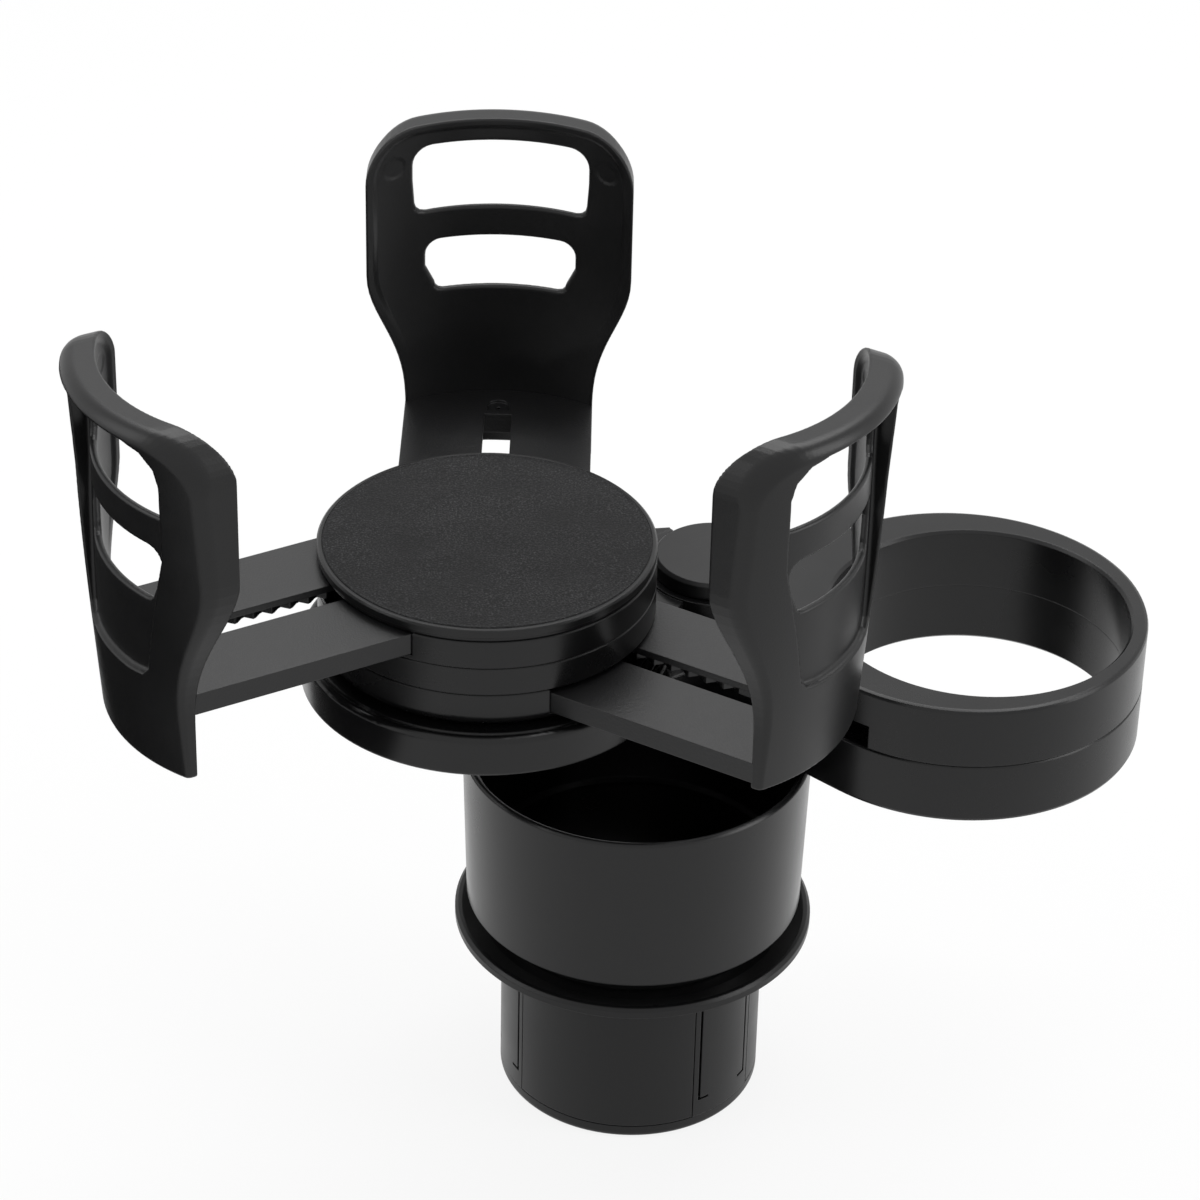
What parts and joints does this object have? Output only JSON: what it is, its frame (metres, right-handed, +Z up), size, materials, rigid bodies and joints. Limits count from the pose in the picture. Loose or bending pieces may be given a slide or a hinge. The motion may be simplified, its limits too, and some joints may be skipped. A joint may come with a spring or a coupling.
{
  "type": "car cup holder",
  "caption": "Car cup holder with an expanding base, a main cup, a swing-out ring and a swinging tray whose sliding arms carry tall curved paddles round a bottle.",
  "frame": {"origin": "axis of the base insert, at its flat underside", "axes": "+Z up along the insert, +X to the ring holder, +Y to the back as seen in the picture"},
  "size_m": [0.265, 0.1773, 0.231],
  "materials": {
    "black_plastic": "satin",
    "arm_plastic": "satin",
    "foam": "matte",
    "steel": "satin"
  },
  "bodies": {
    "base": {"base_shell": "black_plastic", "bottom_cover": "black_plastic", "bottom_screws": "steel"},
    "shoe_front": {"grip_shoe_front": "black_plastic"},
    "shoe_right": {"grip_shoe_right": "black_plastic"},
    "shoe_left": {"grip_shoe_left": "black_plastic"},
    "cup": {"main_cup": "black_plastic", "expander_cam": "black_plastic", "cam_screw": "steel", "pivot_bolt": "steel", "pivot_cap": "black_plastic"},
    "ring": {"ring_lower": "black_plastic", "ring_upper": "black_plastic", "ring_screws": "steel"},
    "tray": {"swing_tray": "black_plastic"},
    "stack": {"stack_low": "black_plastic", "stack_mid": "black_plastic", "stack_top": "black_plastic", "stack_cover": "black_plastic", "foam_pad": "foam", "stack_screws_low": "steel", "stack_screws_mid": "steel", "cover_screws": "steel", "turntable_retainer": "steel", "turntable_screw": "steel"},
    "arm_left": {"arm_left": "arm_plastic"},
    "arm_back": {"arm_back": "arm_plastic"},
    "arm_right": {"arm_right": "arm_plastic"}
  },
  "joints": [
    {"name": "cup_turn", "type": "hinge", "parent": "base", "child": "cup", "pos_m": [0, 0, 0], "axis": [0, 0, 1], "range_deg": [0, 60]},
    {"name": "shoe_front_slide", "type": "slide", "parent": "base", "child": "shoe_front", "axis": [-0.2181, -0.9759, 0], "range_m": [0, 0.0035]},
    {"name": "shoe_right_slide", "type": "slide", "parent": "base", "child": "shoe_right", "axis": [0.9542, 0.299, 0], "range_m": [0, 0.0035]},
    {"name": "shoe_left_slide", "type": "slide", "parent": "base", "child": "shoe_left", "axis": [-0.7361, 0.6769, 0], "range_m": [0, 0.0035]},
    {"name": "ring_swing", "type": "hinge", "parent": "cup", "child": "ring", "pos_m": [0.01859, 0.03118, 0.11], "axis": [0, 0, 1], "range_deg": [-20, 35]},
    {"name": "tray_swing", "type": "hinge", "parent": "cup", "child": "tray", "pos_m": [0.01859, 0.03118, 0.121], "axis": [0, 0, 1], "range_deg": [-35, 20]},
    {"name": "stack_turn", "type": "hinge", "parent": "tray", "child": "stack", "pos_m": [-0.03839, -0.00252, 0.13], "axis": [0, 0, 1], "range_deg": [-250, 20]},
    {"name": "left_arm_slide", "type": "slide", "parent": "stack", "child": "arm_left", "axis": [-0.866, -0.5, 0], "range_m": [-0.0474, 0.0026]},
    {"name": "back_arm_slide", "type": "slide", "parent": "stack", "child": "arm_back", "axis": [0, 1, 0], "range_m": [-0.0433, 0.0067]},
    {"name": "right_arm_slide", "type": "slide", "parent": "stack", "child": "arm_right", "axis": [0.866, -0.5, 0], "range_m": [-0.046, 0.004]}
  ],
  "couplings": [
    {"joint": "shoe_front_slide", "follows": "cup_turn", "m_per_rad": 0.0033423},
    {"joint": "shoe_right_slide", "follows": "cup_turn", "m_per_rad": 0.0033423},
    {"joint": "shoe_left_slide", "follows": "cup_turn", "m_per_rad": 0.0033423}
  ]
}
